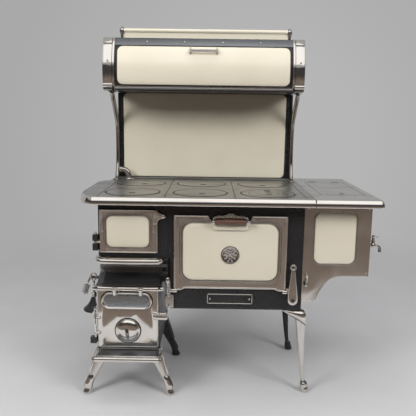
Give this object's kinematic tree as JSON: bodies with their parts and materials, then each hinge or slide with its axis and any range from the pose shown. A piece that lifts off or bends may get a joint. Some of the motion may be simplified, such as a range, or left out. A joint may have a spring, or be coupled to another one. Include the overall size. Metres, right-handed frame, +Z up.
{
  "type": "wood cookstove",
  "caption": "Wood cookstove with enamel panels, side water reservoir, warming cabinet, lift-out lids, and doors, drafts and levers that move.",
  "frame": {"origin": "centre of the bounding box, at floor level", "axes": "+Z up, front looks along -Y, +X to the right seen from the front"},
  "size_m": [1.2978, 0.7794, 1.6283],
  "materials": {
    "cooktop_iron": "polished",
    "nickel": "polished",
    "black_iron": "satin",
    "enamel": "gloss",
    "grey_iron": "rough",
    "dark_steel": "satin",
    "firebrick": "rough",
    "turned_wood": "varnished"
  },
  "bodies": {
    "stove": {"cooktop_main": "cooktop_iron", "reservoir_top": "cooktop_iron", "cooktop_trim": "nickel", "feed_shelf": "nickel", "hearth_plate": "nickel", "ash_leg_front_left": "nickel", "ash_leg_front_right": "nickel", "oven_leg_front": "nickel", "oven_hinge_post": "nickel", "hinge_spring": "nickel", "reservoir_front": "nickel", "tap_body": "nickel", "elbow_pipe": "nickel", "bracket_left": "nickel", "bracket_right": "nickel", "end_band_left": "nickel", "end_band_right": "nickel", "front_panel": "black_iron", "body_shell": "black_iron", "ash_pit_box": "black_iron", "ash_leg_rear_left": "black_iron", "ash_leg_rear_right": "black_iron", "oven_leg_rear": "black_iron", "reservoir_tank": "black_iron", "side_air_hood": "black_iron", "backsplash_frame": "black_iron", "cabinet_shell": "black_iron", "reservoir_panel": "enamel", "backsplash_panel": "enamel", "gallery_back": "enamel", "flue_collar": "grey_iron", "oven_liner": "dark_steel", "oven_rack": "dark_steel", "ash_pan": "dark_steel", "firebrick_lining": "firebrick"},
    "firebox_door": {"firebox_door_frame": "nickel", "firebox_door_insert": "enamel"},
    "ash_door": {"ash_door": "nickel"},
    "draft_flap": {"draft_flap": "nickel"},
    "spin_draft_stud": {"spin_draft_stud": "dark_steel"},
    "spin_draft_disc": {"spin_draft_disc": "nickel"},
    "oven_door": {"oven_door_frame": "nickel", "oven_door_panel": "enamel", "oven_handle_grip": "turned_wood"},
    "oven_damper_lever": {"oven_damper_lever": "nickel"},
    "reservoir_damper": {"reservoir_damper": "nickel"},
    "lid_front_left": {"lid_front_left": "cooktop_iron"},
    "lid_front_middle": {"lid_front_middle": "cooktop_iron"},
    "lid_front_right": {"lid_front_right": "cooktop_iron"},
    "lid_rear_left": {"lid_rear_left": "cooktop_iron"},
    "lid_rear_middle": {"lid_rear_middle": "cooktop_iron"},
    "lid_rear_right": {"lid_rear_right": "cooktop_iron"},
    "reservoir_lid": {"reservoir_lid": "cooktop_iron"},
    "tap_handle": {"tap_handle": "nickel"},
    "draft_rod": {"draft_rod": "nickel"},
    "shaker": {"shaker_lever": "nickel", "shaker_coil_grip": "nickel"},
    "grate": {"grate": "grey_iron"},
    "warming_door": {"warming_door": "enamel", "warming_handle": "nickel"}
  },
  "joints": [
    {"name": "firebox_door_swing", "type": "hinge", "parent": "stove", "child": "firebox_door", "pos_m": [-0.57589, -0.26121, 0.674], "axis": [0, 0, -1], "range_deg": [0, 110]},
    {"name": "ash_door_swing", "type": "hinge", "parent": "stove", "child": "ash_door", "pos_m": [-0.57589, -0.29161, 0.3], "axis": [0, 0, -1], "range_deg": [0, 100]},
    {"name": "draft_flap_lift", "type": "hinge", "parent": "ash_door", "child": "draft_flap", "pos_m": [-0.44239, -0.30161, 0.478], "axis": [-1, 0, 0], "range_deg": [0, 70]},
    {"name": "spin_draft_travel", "type": "slide", "parent": "ash_door", "child": "spin_draft_stud", "axis": [0, -1, 0], "range_m": [0, 0.01]},
    {"name": "spin_draft_turn", "type": "hinge", "parent": "spin_draft_stud", "child": "spin_draft_disc", "pos_m": [-0.43839, -0.28791, 0.291], "axis": [0, -1, 0], "range_deg": [0, 720]},
    {"name": "oven_door_drop", "type": "hinge", "parent": "stove", "child": "oven_door", "pos_m": [-0.00439, -0.26421, 0.466], "axis": [1, 0, 0], "range_deg": [0, 90]},
    {"name": "oven_damper_turn", "type": "hinge", "parent": "stove", "child": "oven_damper_lever", "pos_m": [0.26411, -0.28131, 0.436], "axis": [0, 1, 0], "range_deg": [0, 60]},
    {"name": "reservoir_damper_turn", "type": "hinge", "parent": "stove", "child": "reservoir_damper", "pos_m": [0.32111, -0.26031, 0.503], "axis": [0, 1, 0], "range_deg": [0, 60]},
    {"name": "lid_front_left_lift", "type": "slide", "parent": "stove", "child": "lid_front_left", "axis": [0, 0, 1], "range_m": [0, 0.12]},
    {"name": "lid_front_middle_lift", "type": "slide", "parent": "stove", "child": "lid_front_middle", "axis": [0, 0, 1], "range_m": [0, 0.12]},
    {"name": "lid_front_right_lift", "type": "slide", "parent": "stove", "child": "lid_front_right", "axis": [0, 0, 1], "range_m": [0, 0.12]},
    {"name": "lid_rear_left_lift", "type": "slide", "parent": "stove", "child": "lid_rear_left", "axis": [0, 0, 1], "range_m": [0, 0.12]},
    {"name": "lid_rear_middle_lift", "type": "slide", "parent": "stove", "child": "lid_rear_middle", "axis": [0, 0, 1], "range_m": [0, 0.12]},
    {"name": "lid_rear_right_lift", "type": "slide", "parent": "stove", "child": "lid_rear_right", "axis": [0, 0, 1], "range_m": [0, 0.12]},
    {"name": "reservoir_lid_lift", "type": "hinge", "parent": "stove", "child": "reservoir_lid", "pos_m": [0.47571, 0.23949, 0.88], "axis": [-1, 0, 0], "range_deg": [0, 75]},
    {"name": "tap_turn", "type": "hinge", "parent": "stove", "child": "tap_handle", "pos_m": [0.61041, -0.21631, 0.703], "axis": [0, 0, 1], "range_deg": [0, 90]},
    {"name": "draft_rod_lift", "type": "slide", "parent": "stove", "child": "draft_rod", "axis": [0, 0, 1], "range_m": [0, 0.03]},
    {"name": "shaker_rock", "type": "hinge", "parent": "stove", "child": "shaker", "pos_m": [-0.58789, -0.19231, 0.498], "axis": [1, 0, 0], "range_deg": [0, 25]},
    {"name": "grate_rock", "type": "hinge", "parent": "stove", "child": "grate", "pos_m": [-0.40789, -0.01001, 0.502], "axis": [1, 0, 0], "range_deg": [0, 15]},
    {"name": "warming_door_drop", "type": "hinge", "parent": "stove", "child": "warming_door", "pos_m": [-0.13039, -0.02096, 1.3383], "axis": [1, 0, 0], "range_deg": [0, 85]}
  ],
  "couplings": [
    {"joint": "spin_draft_travel", "follows": "spin_draft_turn", "m_per_rad": 0.000795},
    {"joint": "grate_rock", "follows": "shaker_rock", "ratio": 0.6}
  ]
}
